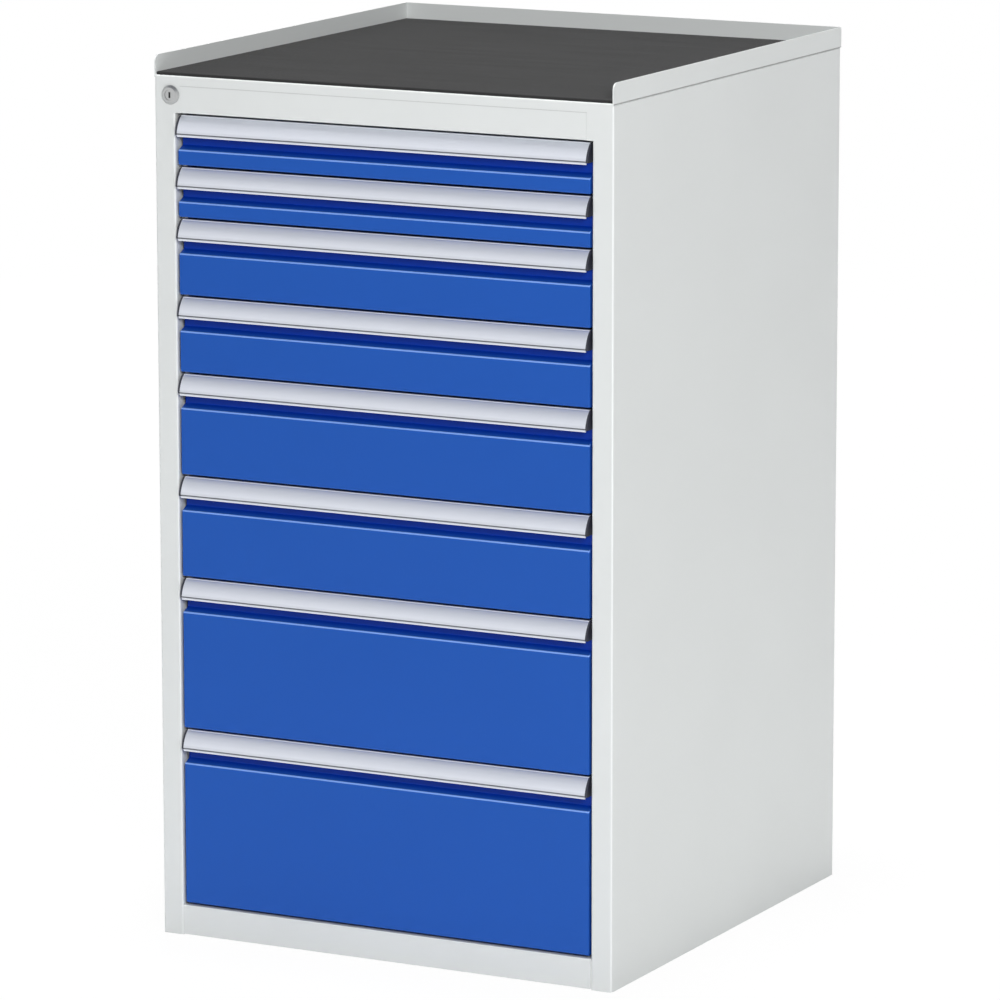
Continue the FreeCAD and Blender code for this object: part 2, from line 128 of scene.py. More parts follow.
class Shader:
    """A node tree that is built from Python expressions."""

    def __init__(self, tree: bpy.types.NodeTree) -> None:
        """Empty a node tree and wrap it."""
        self.tree = tree
        tree.nodes.clear()

    def node(self, kind: str, settings: dict | None = None, **sockets: object) -> bpy.types.Node:
        """Add a node, set it up and fill its sockets.

        Args:
            kind: The node's type.
            settings: Values of the node's own settings, such as a Math node's operation.
            sockets: Input sockets by name, with _ for a space, or by place as s0, s1 and so on.

        Returns:
            The new node.
        """
        made = self.tree.nodes.new(kind)
        for name, value in (settings or {}).items():
            setattr(made, name, value)
        for name, value in sockets.items():
            place = int(name[1:]) if name[0] == "s" and name[1:].isdigit() else name.replace("_", " ")
            self._fill(made.inputs[place], value)
        return made

    def _fill(self, socket: bpy.types.NodeSocket, value: object) -> None:
        """Link a socket to a signal, or set its own value.

        Args:
            socket: The input socket.
            value: A signal, a colour of three numbers, or any other value that the socket takes.
        """
        if isinstance(value, Signal):
            self.tree.links.new(value.socket, socket)
        elif isinstance(value, tuple) and len(value) == 3 and socket.type == "RGBA":
            socket.default_value = (*value, 1.0)
        else:
            socket.default_value = value

    def output(self, made: bpy.types.Node, name: str | int = 0) -> Signal:
        """The signal of one output socket of a node."""
        return Signal(self, made.outputs[name])

    def maths(self, operation: str, a: Signal | float, b: Signal | float, clamp: bool = False) -> Signal:
        """One step of number maths."""
        made = self.node("ShaderNodeMath", {"operation": operation, "use_clamp": clamp}, s0=a, s1=b)
        return self.output(made)

    def mix(self, share: Signal | float, first: object, second: object) -> Signal:
        """Mix of two colours.

        Args:
            share: How much of the second colour there is.
            first: A colour or a colour signal.
            second: A colour or a colour signal.

        Returns:
            The mixed colour.
        """
        made = self.node("ShaderNodeMix", {"data_type": "RGBA"}, s0=share, s6=first, s7=second)
        return self.output(made, 2)

    def place(self, scale: tuple[float, float, float] = (1, 1, 1),
              centre: tuple[float, float, float] = (0, 0, 0)) -> Signal:
        """Object coordinates in metres, measured from a centre and stretched by a scale.

        Args:
            scale: What each coordinate is multiplied by.
            centre: The point that becomes 0.

        Returns:
            The coordinates as a vector.
        """
        coordinates = self.output(self.node("ShaderNodeTexCoord"), "Object")
        location = tuple(-c * s for c, s in zip(centre, scale))
        mapped = self.node("ShaderNodeMapping", Vector=coordinates, Location=location, Scale=scale)
        return self.output(mapped)

    def parts(self, vector: Signal) -> list[Signal]:
        """The three numbers of a vector."""
        split = self.node("ShaderNodeSeparateXYZ", Vector=vector)
        return [self.output(split, index) for index in range(3)]

    def bends(self, low: float = 0.10, high: float = 0.25,
              down: float = -0.20, level: float = -0.05) -> Signal:
        """1 where the surface turns from one of the object's main directions to another, and 0 on flat faces.

        The turn is 1 less the largest part of the normal, so it peaks halfway round a bend. The share places
        the painted bend highlight, which is left off bends that face down.

        Args:
            low: The turn up to which a face counts as flat.
            high: The turn from which it counts as a bend.
            down: The normal's upward part up to which a bend faces down and is left out.
            level: The normal's upward part from which a bend counts in full.

        Returns:
            The share of bend.
        """
        x, y, z = self.parts(self.normal())
        turn = 1.0 - x.absolute().larger(y.absolute()).larger(z.absolute())
        return turn.step(low, high) * z.step(down, level)

    def normal(self) -> Signal:
        """The surface's direction in the object's own axes."""
        return self.output(self.node("ShaderNodeTexCoord"), "Normal")

    def mark(self) -> Signal:
        """The painted-shade number that an extrusion's outline carries, from 0 on open surfaces to 1 deep in
        a groove.
        """
        return self.output(self.node("ShaderNodeAttribute", {"attribute_name": SHADE_MARK}), "Fac")

    def grain(self, where: Signal, size: float, detail: float = 2.0) -> Signal:
        """Noise from 0 to 1 whose blotches are about size across in the coordinates of where."""
        made = self.node("ShaderNodeTexNoise", Vector=where, Scale=1 / size, Detail=detail)
        return self.output(made)

    def bump(self, height: Signal, depth: float) -> Signal:
        """Normal of a surface whose relief goes from 0 to depth metres with the height signal."""
        return self.output(self.node("ShaderNodeBump", Height=height, Distance=depth, Strength=1.0))

    def surface(self, **sockets: object) -> None:
        """Add a principled shader that feeds the material's surface."""
        shader = self.node("ShaderNodeBsdfPrincipled", **sockets)
        self.node("ShaderNodeOutputMaterial", Surface=self.output(shader))


# Finishes


@dataclass(frozen=True)
class Finish:
    """A finish that is the same wherever it is used."""

    name: str

    def material(self) -> bpy.types.Material:
        """The finish's material, made at its first use.

        Returns:
            The material that all pieces with this finish share.
        """
        made = bpy.data.materials.get(self.name)
        if made is None:
            made = bpy.data.materials.new(self.name)
            made.use_nodes = True
            self.shade(Shader(made.node_tree))
        return made

    def shade(self, shader: Shader) -> None:
        """Build the finish's nodes."""
        raise NotImplementedError


@dataclass(frozen=True)
class PowderCoat(Finish):
    """Baked powder paint on sheet steel, with the fine orange peel of such a coat.

    The colour drifts a little over a hand's width, the gloss over a finger's width, and the relief is
    two layers of noise, the peel itself and the finer texture of the powder's grains. The paint is smoother
    along the bends of the sheet, and a painted highlight, the bend colour, is laid on them in patches.
    """

    colour: Colour
    bend_highlight_colour: Colour
    gloss_share: float = 0.4
    roughness: float = 0.34
    roughness_spread: float = 0.06
    bend_polish: float = 0.08
    highlight_patches: float = 0.15
    drift: float = 0.02
    drift_size: float = 0.16
    blotch_size: float = 0.03
    peel_size: float = 0.0022
    peel_share: float = 0.8
    peel_depth: float = 0.000012
    powder_fineness: float = 5
    refraction: float = 1.45

    def shade(self, shader: Shader) -> None:
        """Build the finish's nodes.

        Args:
            shader: The material's node tree.
        """
        where = shader.place()
        cloud = shader.grain(where, self.drift_size, detail=1.0)
        blotch = shader.grain(where, self.blotch_size, detail=3.0)
        peel = shader.grain(where, self.peel_size, detail=1.0)
        powder = shader.grain(where, self.peel_size / self.powder_fineness)
        light = tuple(min(1.0, c * (1 + self.drift)) for c in self.colour)
        dark = tuple(c * (1 - self.drift) for c in self.colour)
        relief = shader.bump(peel * self.peel_share + powder * (1 - self.peel_share), self.peel_depth)
        # Painted highlight: the bend colour laid on the bends in patches.
        bend = self.bend_highlight_share(shader)
        flat = self.flat_colour(shader, shader.mix(cloud, dark, light))
        shader.surface(
            Base_Color=shader.mix(bend * (1 - self.highlight_patches + blotch * self.highlight_patches), flat,
                                  self.bend_highlight_colour),
            Roughness=self.roughness - self.roughness_spread / 2 + blotch * self.roughness_spread
            - bend * self.bend_polish,
            IOR=self.refraction,
            Specular_IOR_Level=self.gloss_share,
            Normal=relief,
        )

    def flat_colour(self, shader: Shader, coat: Signal) -> Signal:
        """The coat's colour away from the bends."""
        return coat

    def bend_highlight_share(self, shader: Shader) -> Signal:
        """How much of the painted bend highlight shows."""
        return shader.bends()


@dataclass(frozen=True)
class HousingCoat(PowderCoat):
    """Powder paint of the housing, with painted shade in the joint under the rims and in the header's seam.
    """

    joint_level: float = 0.0
    seam_level: float = 0.0
    seam_half: float = 0.0
    painted_shade_tone: float = 0.35
    joint_reach: float = 0.0011
    joint_share: float = 0.85
    seam_reach: float = 0.0006
    seam_share: float = 0.35
    seam_fade: float = 0.0004
    full_share: float = 0.4
    sideways: tuple[float, float] = (0.2, 0.5)
    forwards: tuple[float, float] = (-0.5, -0.9)

    def flat_colour(self, shader: Shader, coat: Signal) -> Signal:
        """The coat, with painted shade where the surface is within reach of the joint's or the seam's level.
        """
        painted_shade = tuple(c * self.painted_shade_tone for c in self.colour)
        # Painted shade in the joint under the rims and in the header's seam.
        return shader.mix(self.painted_shade_share(shader), coat, painted_shade)

    def painted_shade_share(self, shader: Shader) -> Signal:
        """How much painted shade shows: in the joint on faces to the left and right, and in the seam on the
        front.

        The shade is full up to a share of its reach, and fades out from there to the whole reach.

        Args:
            shader: The material's node tree.

        Returns:
            The share of painted shade.
        """
        x, _, z = shader.parts(shader.place())
        aside, towards, _ = shader.parts(shader.normal())
        from_joint = (z - self.joint_level).absolute()
        from_seam = (z - self.seam_level).absolute()
        in_joint = from_joint.step(self.joint_reach, self.joint_reach * self.full_share)
        in_seam = from_seam.step(self.seam_reach, self.seam_reach * self.full_share)
        in_seam = in_seam * x.absolute().step(self.seam_half + self.seam_fade, self.seam_half)
        return (in_joint * aside.absolute().step(*self.sideways) * self.joint_share
                + in_seam * self.seam_share * towards.step(*self.forwards))

    def bend_highlight_share(self, shader: Shader) -> Signal:
        """How much of the painted bend highlight shows, less the painted shade."""
        return (shader.bends() * (1.0 - self.painted_shade_share(shader))).clamped()


@dataclass(frozen=True)
class FrontCoat(PowderCoat):
    """Powder paint of the drawer fronts: painted shade in the recess, a painted highlight on the fold between
    face and recess.
    """

    face: float = 0.0
    reach: float = 0.003
    recess_shade_colour: Colour = (0.001, 0.036, 0.360)
    recess_start: float = 0.002
    recess_full: float = 0.008
    fold_start: tuple[float, float] = (0.08, 0.26)
    fold_end: tuple[float, float] = (0.885, 0.84)

    def flat_colour(self, shader: Shader, coat: Signal) -> Signal:
        """The coat, with painted shade deeper in the recess behind the face.

        Args:
            shader: The material's node tree.
            coat: The coat's colour on the face.

        Returns:
            The colour of face and recess.
        """
        depth = shader.parts(shader.place())[1]
        behind = depth.step(self.face + self.recess_start, self.face + self.recess_full)
        # Painted shade in the recess behind the face.
        return shader.mix(behind, coat, self.recess_shade_colour)

    def bend_highlight_share(self, shader: Shader) -> Signal:
        """How much of the painted fold highlight shows.

        The fold is where the surface is within reach of the face and its normal's upward part lies between
        that of the face, 0, and that of the slope, 0.894.

        Args:
            shader: The material's node tree.

        Returns:
            The share of the bend colour.
        """
        near = shader.parts(shader.place())[1].step(self.face + self.reach, self.face + self.reach / 2)
        upward = shader.parts(shader.normal())[2]
        # Painted highlight along the fold.
        return near * upward.step(*self.fold_start) * upward.step(*self.fold_end)


@dataclass(frozen=True)
class AnodisedAluminium(Finish):
    """Extruded aluminium with a clear anodised coat, whose die lines run along X.

    Noise that is stretched along X gives the die lines, and a slower one the soft bands between them. Painted
    shade darkens the metal in its groove, and a little on the band above it, by the outline's marks. The
    etched coat scatters part of the light as paint does, so the metal share is below 1.
    """

    colour: Colour = (0.835, 0.868, 0.940)
    dull_tone: float = 0.93
    groove_shade_tone: float = 0.22
    metal_share: float = 0.60
    roughness: float = 0.46
    line_roughness: float = 0.06
    band_roughness: float = 0.04
    line_width: float = 0.00035
    line_length: float = 0.25
    line_depth: float = 0.000004
    line_share: float = 0.6
    lines_per_band: float = 9

    def shade(self, shader: Shader) -> None:
        """Build the finish's nodes.

        Args:
            shader: The material's node tree.
        """
        stretch = self.line_width / self.line_length
        where = shader.place(scale=(stretch, 1, 1))
        lines = shader.grain(where, self.line_width, detail=3.0)
        bands = shader.grain(where, self.line_width * self.lines_per_band)
        dull = tuple(c * self.dull_tone for c in self.colour)
        deep = tuple(c * self.groove_shade_tone for c in self.colour)
        drawn = shader.mix(lines * self.line_share + bands * (1 - self.line_share), dull, self.colour)
        smoothest = self.roughness - (self.line_roughness + self.band_roughness) / 2
        shader.surface(
            # Painted shade in the groove and on the band above it, by the outline's marks.
            Base_Color=shader.mix(shader.mark(), drawn, deep),
            Metallic=self.metal_share,
            Roughness=smoothest + lines * self.line_roughness + bands * self.band_roughness,
            Normal=shader.bump(lines, self.line_depth),
        )


@dataclass(frozen=True)
class ZincSteel(Finish):
    """Galvanised sheet, with the patchy crystals of its zinc coat and fine scratches along Y."""

    colour: Colour = (0.56, 0.58, 0.60)
    dull_tone: float = 0.82
    roughness: float = 0.32
    crystal_roughness: float = 0.12
    scratch_roughness: float = 0.06
    crystal_size: float = 0.012
    scratch_width: float = 0.0008
    scratch_stretch: float = 0.02
    scratch_depth: float = 0.000006

    def shade(self, shader: Shader) -> None:
        """Build the finish's nodes.

        Args:
            shader: The material's node tree.
        """
        where = shader.place()
        cells = shader.node("ShaderNodeTexVoronoi", Vector=where, Scale=1 / self.crystal_size)
        tone = shader.output(shader.node("ShaderNodeSeparateColor", Color=shader.output(cells, "Color")))
        along = shader.place(scale=(1, self.scratch_stretch, 1))
        scratches = shader.grain(along, self.scratch_width)
        dull = tuple(c * self.dull_tone for c in self.colour)
        shader.surface(
            Base_Color=shader.mix(tone, dull, self.colour),
            Metallic=1.0,
            Roughness=self.roughness + tone * self.crystal_roughness + scratches * self.scratch_roughness,
            Normal=shader.bump(scratches, self.scratch_depth),
        )


@dataclass(frozen=True)
class MouldedPlastic(Finish):
    """Injection-moulded plastic with an eroded, slightly dusty surface."""

    colour: Colour = (0.030, 0.032, 0.045)
    worn_tone: float = 1.35
    wear_size: float = 0.02
    roughness: float = 0.5
    roughness_spread: float = 0.1
    grain_size: float = 0.0006
    grain_depth: float = 0.00002

    def shade(self, shader: Shader) -> None:
        """Build the finish's nodes.

        Args:
            shader: The material's node tree.
        """
        where = shader.place()
        erosion = shader.grain(where, self.grain_size, detail=3.0)
        wear = shader.grain(where, self.wear_size)
        worn = tuple(c * self.worn_tone for c in self.colour)
        shader.surface(
            Base_Color=shader.mix(wear, self.colour, worn),
            Roughness=self.roughness - self.roughness_spread / 2 + erosion * self.roughness_spread,
            Normal=shader.bump(erosion, self.grain_depth),
        )


@dataclass(frozen=True)
class RibbedRubber(Finish):
    """Dark rubber, worn a little paler along its ribs' crests, in patches and in streaks along X."""

    crest: float
    valley: float
    colour: Colour = (0.054, 0.054, 0.054)
    deep_tone: float = 0.50
    worn_tone: float = 1.45
    roughness: float = 0.72
    crumb_roughness: float = 0.12
    gloss_share: float = 0.35
    crumb_size: float = 0.0009
    crumb_depth: float = 0.00003
    crumb_cover: float = 0.4
    crest_cover: float = 0.8
    wear_size: float = 0.05
    wear_stretch: float = 0.35
    wear_share: float = 0.4
    streak_size: float = 0.008
    streak_stretch: float = 0.06
    streak_share: float = 1.1
    unworn: float = 0.25

    def shade(self, shader: Shader) -> None:
        """Build the finish's nodes.

        Args:
            shader: The material's node tree.
        """
        where = shader.place()
        height = shader.parts(where)[2].step(self.valley, self.crest)
        crumbs = shader.grain(where, self.crumb_size, detail=3.0)
        wear = shader.grain(shader.place(scale=(self.wear_stretch, 1, 1)), self.wear_size, detail=3.0)
        streaks = shader.grain(shader.place(scale=(self.streak_stretch, 1, 1)), self.streak_size)
        deep = tuple(c * self.deep_tone for c in self.colour)
        worn = tuple(c * self.worn_tone for c in self.colour)
        rubbed = (wear * self.wear_share + streaks * self.streak_share - self.unworn).clamped()
        top = shader.mix(rubbed, self.colour, worn)
        shader.surface(
            Base_Color=shader.mix(height * (self.crest_cover + crumbs * self.crumb_cover), deep, top),
            Roughness=self.roughness + crumbs * self.crumb_roughness,
            Specular_IOR_Level=self.gloss_share,
            Normal=shader.bump(crumbs, self.crumb_depth),
        )


@dataclass(frozen=True)
class TurnedMetal(Finish):
    """Satin nickel on a turned part, with tool rings around the lock's axis.

    The rings are noise on the distance from the axis, so they are circles in every cross-section.
    """

    axis_x: float = 0.0
    axis_z: float = 0.0
    colour: Colour = (0.54, 0.55, 0.55)
    dull_tone: float = 0.8
    roughness: float = 0.28
    roughness_spread: float = 0.1
    ring_width: float = 0.00035
    ring_depth: float = 0.000008

    def shade(self, shader: Shader) -> None:
        """Build the finish's nodes.

        Args:
            shader: The material's node tree.
        """
        where = shader.place(scale=(1, 0, 1), centre=(self.axis_x, 0, self.axis_z))
        distance = shader.node("ShaderNodeVectorMath", {"operation": "LENGTH"}, s0=where)
        radius = shader.output(distance, "Value")
        along = shader.node("ShaderNodeCombineXYZ", X=radius)
        rings = shader.grain(shader.output(along), self.ring_width)
        dull = tuple(c * self.dull_tone for c in self.colour)
        shader.surface(
            Base_Color=shader.mix(rings, dull, self.colour),
            Metallic=1.0,
            Roughness=self.roughness - self.roughness_spread / 2 + rings * self.roughness_spread,
            Normal=shader.bump(rings, self.ring_depth),
        )


class Paint(Enum):
    """Finishes of the cabinet's own parts."""

    # The box paint's second colour is a painted highlight on the boxes' bends.
    BOX = PowderCoat("inner_powder_coat", (0.600, 0.630, 0.610), (0.72, 0.74, 0.74), gloss_share=0.05,
                     roughness=0.60)
    HANDLE = AnodisedAluminium("anodised_extrusion")
    STEEL = ZincSteel("galvanised_sheet")
    CAP = MouldedPlastic("moulded_cap")


def dress(node: bpy.types.Object, finish: Finish) -> None:
    """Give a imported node, in all its slots, one finish.

    Args:
        node: The node's object.
        finish: The finish.
    """
    if not node.material_slots:
        node.data.materials.append(None)
    for slot in node.material_slots:
        slot.material = finish.material()


# Meshes


@dataclass(frozen=True)
class Extrusion:
    """A closed outline in the YZ plane that is carried along X.

    Vertex (i, j) is (x_i, y_j, z_j), where x_i are the stations and (y_j, z_j) the outline's points,
    counted clockwise for someone who looks along -X. Both ends are closed with one face. Each point of the
    outline may carry a number, the mark, which the finish reads as a mesh attribute.
    """

    outline: np.ndarray
    stations: tuple[float, ...]
    marks: np.ndarray | None = None
    sharp_angle: float = math.radians(32)

    def vertices(self) -> np.ndarray:
        """All vertices, station by station.

        Returns:
            One row (x, y, z) for each vertex.
        """
        stations = np.asarray(self.stations)
        count = len(self.outline)
        x = np.repeat(stations, count)
        yz = np.tile(self.outline, (len(stations), 1))
        return np.column_stack([x, yz])

    def faces(self) -> list[list[int]]:
        """Quads between neighbouring stations, and the two end faces, all facing outwards.

        Returns:
            The vertex numbers of each face.
        """
        count = len(self.outline)
        point = np.arange(count)
        ahead = np.roll(point, -1)
        rows = np.arange(len(self.stations) - 1)[:, None] * count
        quads = np.stack([ahead + rows, point + rows, point + rows + count, ahead + rows + count], axis=-1)
        last = (len(self.stations) - 1) * count
        return quads.reshape(-1, 4).tolist() + [point.tolist(), (point + last)[::-1].tolist()]

    def build(self, name: str) -> bpy.types.Object:
        """Make the mesh object, smooth over its curves and sharp at its edges.

        Args:
            name: The piece's name.

        Returns:
            The object, at the origin.
        """
        mesh = bpy.data.meshes.new(name)
        mesh.from_pydata(self.vertices().tolist(), [], self.faces())
        mesh.polygons.foreach_set("use_smooth", np.ones(len(mesh.polygons), dtype=bool))
        mesh.set_sharp_from_angle(angle=self.sharp_angle)
        if self.marks is not None:
            attribute = mesh.attributes.new(SHADE_MARK, "FLOAT", "POINT")
            attribute.data.foreach_set("value", np.tile(self.marks, len(self.stations)))
        mesh.update()
        piece = bpy.data.objects.new(name, mesh)
        bpy.context.scene.collection.objects.link(piece)
        return piece


def arc(centre: tuple[float, float], radius: float, start: float, end: float, count: int) -> np.ndarray:
    """Points of an arc: centre plus radius times (cosine, sine) of an angle that runs from start to end."""
    angle = np.radians(np.linspace(start, end, count))
    return np.column_stack([centre[0] + radius * np.cos(angle), centre[1] + radius * np.sin(angle)])


# Sub-assemblies


@dataclass
class Housing:
    """Painted sheets of the housing and the steel posts and runners inside it."""

    painted: tuple[str, ...] = ("side_panel_right", "side_panel_left", "back_panel", "base_panel",
                                "top_panel", "top_tray")
    steel: tuple[str, ...] = ("slotted_posts", "cabinet_runners")
    colour: Colour = (0.735, 0.758, 0.750)
    # Painted highlight on the bends of the housing's sheets.
    bend_highlight_colour: Colour = (0.90, 0.92, 0.92)
    hem_drop: float = 0.0015
    joint_rise: float = 0.0003
    seam_drop: float = 0.0099
    seam_half: float = 0.257

    def coat(self) -> HousingCoat:
        """The housing's paint, with its joint and seam measured from the tray's hem.

        Returns:
            The finish of all painted sheets.
        """
        rim_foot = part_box("top_tray")[0].z + self.hem_drop
        return HousingCoat("pale_grey_powder_coat", self.colour, self.bend_highlight_colour,
                           joint_level=rim_foot + self.joint_rise, seam_level=rim_foot - self.seam_drop,
                           seam_half=self.seam_half)

    def build(self, nodes: dict[str, bpy.types.Object]) -> None:
        """Dress the housing's nodes.

        Args:
            nodes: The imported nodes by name.
        """
        coat = self.coat()
        for name in self.painted:
            dress(nodes[name], coat)
        for name in self.steel:
            dress(nodes[name], Paint.STEEL.value)
        log.info("housing: %d painted sheets, %d steel nodes", len(self.painted), len(self.steel))


@dataclass
class TrayMat:
    """Rubber mat whose ribs run along X."""

    pitch: float = 0.003
    rib_width: float = 0.0016
    rib_height: float = 0.0008
    flank: float = 0.0003

    def outline(self, low: Vector, high: Vector) -> np.ndarray:
        """Cross-section: a flat underside, and a top that rises to a flat crest once in each pitch.

        Each rib is four points, foot, crest, crest and foot, and all ribs are the same four points moved by
        a whole number of pitches.

        Args:
            low: The mat's lowest corner.
            high: The mat's highest corner.

        Returns:
            The points (y, z), clockwise for someone who looks along -X.
        """
        length = high.y - low.y
        count = int(length // self.pitch)
        margin = (length - (count - 1) * self.pitch - self.rib_width) / 2
        starts = low.y + margin + np.arange(count) * self.pitch
        across = np.array([0, self.flank, self.rib_width - self.flank, self.rib_width])
        heights = high.z - self.rib_height * np.array([1, 0, 0, 1])
        top_y = (starts[:, None] + across).ravel()
        top_z = np.tile(heights, count)
        ends = np.array([[high.y, high.z - self.rib_height], [high.y, low.z],
                         [low.y, low.z], [low.y, high.z - self.rib_height]])
        return np.vstack([np.column_stack([top_y, top_z]), ends])

    def build(self) -> None:
        """Build the ribbed mat in place of its packed slab."""
        low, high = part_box("ribbed_mat")
        mat = Extrusion(self.outline(low, high), (low.x, high.x)).build("rubber_mat")
        rubber = RibbedRubber("worn_rubber", crest=high.z, valley=high.z - self.rib_height)
        mat.data.materials.append(rubber.material())
        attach(mat, "housing")
        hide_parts("ribbed_mat")
        log.info("mat: %d ribs", int((high.y - low.y) // self.pitch))


@dataclass
class Handle:
    """Curved aluminium pull over the whole width of a drawer, with a lip along its lower edge.

    The outer curve is an arc from the knee at the top to the foot, its foremost point, just above the groove.
    The inner one has the same centre and a radius that is smaller by the wall.
    """

    radius: float = 0.034
    curve_depth: float = 0.010
    wall: float = 0.0018
    knee_drop: float = 0.0009
    foot_margin: float = 0.0002
    groove_drop: float = 0.0203
    groove_width: float = 0.0015
    groove_depth: float = 0.0010
    line_width: float = 0.0008
    line_depth: float = 0.0004
    lip_setback: float = 0.0004
    lip_radius: float = 0.0008
    flange: float = 0.009
    band_height: float = 0.0035
    band_shade_mark: float = 0.22
    groove_shade_marks: tuple[float, float, float] = (0.35, 1.0, 0.55)
    arc_points: int = 40
    edge_points: int = 8

    def outline(self, low: Vector, high: Vector) -> tuple[np.ndarray, np.ndarray]:
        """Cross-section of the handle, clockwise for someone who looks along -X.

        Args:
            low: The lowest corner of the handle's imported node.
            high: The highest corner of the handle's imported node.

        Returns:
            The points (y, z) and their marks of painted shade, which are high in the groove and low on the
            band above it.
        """
        height = self.groove_drop - self.groove_width / 2 - self.foot_margin - self.knee_drop
        tilt = math.degrees(math.atan2(self.curve_depth, height))
        half_turn = math.degrees(math.asin(math.hypot(self.curve_depth, height) / 2 / self.radius))
        start, end = 180 - (tilt - half_turn), 180 - (tilt + half_turn)
        centre = (low.y - self.radius * math.cos(math.radians(start)),
                  high.z - self.knee_drop - self.radius * math.sin(math.radians(end)))
        outer = arc(centre, self.radius, start, end, self.arc_points)
        inner = arc(centre, self.radius - self.wall, end, start, self.arc_points)
        foot, knee = outer[0], outer[-1]
        groove = high.z - self.groove_drop
        lip = foot[0] + self.lip_setback
        edge_round = arc((lip + self.lip_radius, low.z + self.lip_radius), self.lip_radius, 270, 180,
                         self.edge_points)
        upper = np.array([
            (knee[0] + self.line_width / 2, knee[1] - self.line_depth),
            (knee[0] + self.line_width, high.z),
            (high.y, high.z),
            (high.y, high.z - self.flange),
            (high.y - self.wall, high.z - self.flange),
            (high.y - self.wall, high.z - self.wall),
        ])
        lower = np.array([(lip + self.wall, low.z)])
        front = np.array([
            (foot[0], groove - self.groove_width / 2),
            (foot[0] + self.groove_depth, groove),
            (foot[0], groove + self.groove_width / 2),
        ])
        parts = [outer, upper, inner, lower, edge_round, front]
        marks = [np.zeros(len(part)) for part in parts]
        # Marks of painted shade: a little on the band above the foot, most in the groove.
        marks[0] = np.clip(1 - (outer[:, 1] - foot[1]) / self.band_height, 0, 1) * self.band_shade_mark
        marks[-1] = np.array(self.groove_shade_marks)
        return np.vstack(parts), np.concatenate(marks)

    def build(self, number: int) -> None:
        """Build one drawer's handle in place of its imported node.

        Args:
            number: The drawer's number, from 1 at the top.
        """
        node = f"drawer_{number}_handle"
        low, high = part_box(node)
        outline, marks = self.outline(low, high)
        handle = Extrusion(outline, (low.x, high.x), marks).build(f"handle_{number}")
        handle.data.materials.append(Paint.HANDLE.value.material())
        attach(handle, f"drawer_{number}")
        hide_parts(node)


@dataclass
class Drawer:
    """One drawer: its front, box, runners, handle and the handle's end caps."""

    number: int
    colour: Colour = (0.016, 0.095, 0.440)
    # Painted highlight along the outer fold of each front.
    fold_highlight_colour: Colour = (0.27, 0.47, 1.0)
    gloss_share: float = 0.14
    roughness: float = 0.30
    handle: Handle = field(default_factory=Handle)

    def build(self, nodes: dict[str, bpy.types.Object]) -> None:
        """Dress the drawer's nodes and build its handle.

        Args:
            nodes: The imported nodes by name.
        """
        start = f"drawer_{self.number}_"
        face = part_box(start + "front")[0].y
        blue = FrontCoat("blue_powder_coat", self.colour, self.fold_highlight_colour, gloss_share=self.gloss_share,
                         roughness=self.roughness, face=face)
        dress(nodes[start + "front"], blue)
        dress(nodes[start + "box"], Paint.BOX.value)
        dress(nodes[start + "runner"], Paint.STEEL.value)
        dress(nodes[start + "handle_caps"], Paint.CAP.value)
        dress(nodes[f"slide_{self.number}_middle"], Paint.STEEL.value)
        self.handle.build(self.number)
        log.info("drawer %d: front, box, runners, handle and caps", self.number)


@dataclass
class Lock:
    """Lock housing and plug of turned metal, and the steel bar that they move."""

    def build(self, nodes: dict[str, bpy.types.Object]) -> None:
        """Dress the lock's nodes.

        Args:
            nodes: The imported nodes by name.
        """
        low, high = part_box("lock_housing")
        axis = (low + high) / 2
        metal = TurnedMetal("satin_nickel", axis_x=axis.x, axis_z=axis.z)
        for name in ("lock_housing", "lock_plug"):
            dress(nodes[name], metal)
        dress(nodes["lock_bar"], Paint.STEEL.value)
        log.info("lock: housing, plug and bar")


# Studio


@dataclass(frozen=True)
class Softbox:
    """A rectangular lamp that faces the cabinet.

    level is the light that it gives to a surface that faces it, where 1 shows a white sheet as white. A lamp
    of power P gives P / (pi * distance)^2 of that. No lamp is mirrored: metal shows the surroundings alone.
    """

    name: str
    azimuth: float
    elevation: float
    distance: float
    width: float
    height: float
    level: float

    def build(self, target: Vector) -> None:
        """Hang the lamp.

        Args:
            target: The point that it faces. The azimuth is counted from -Y towards +X.
        """
        lamp = bpy.data.lights.new(self.name, "AREA")
        lamp.shape = "RECTANGLE"
        lamp.size = self.width
        lamp.size_y = self.height
        lamp.energy = self.level * (math.pi * self.distance) ** 2
        turn = math.radians(self.azimuth)
        rise = math.radians(self.elevation)
        towards = Vector((math.sin(turn) * math.cos(rise), -math.cos(turn) * math.cos(rise), math.sin(rise)))
        holder = bpy.data.objects.new(self.name, lamp)
        holder.location = target + towards * self.distance
        holder.rotation_euler = towards.to_track_quat("Z", "Y").to_euler()
        holder.visible_camera = False
        holder.visible_glossy = False
        bpy.context.scene.collection.objects.link(holder)


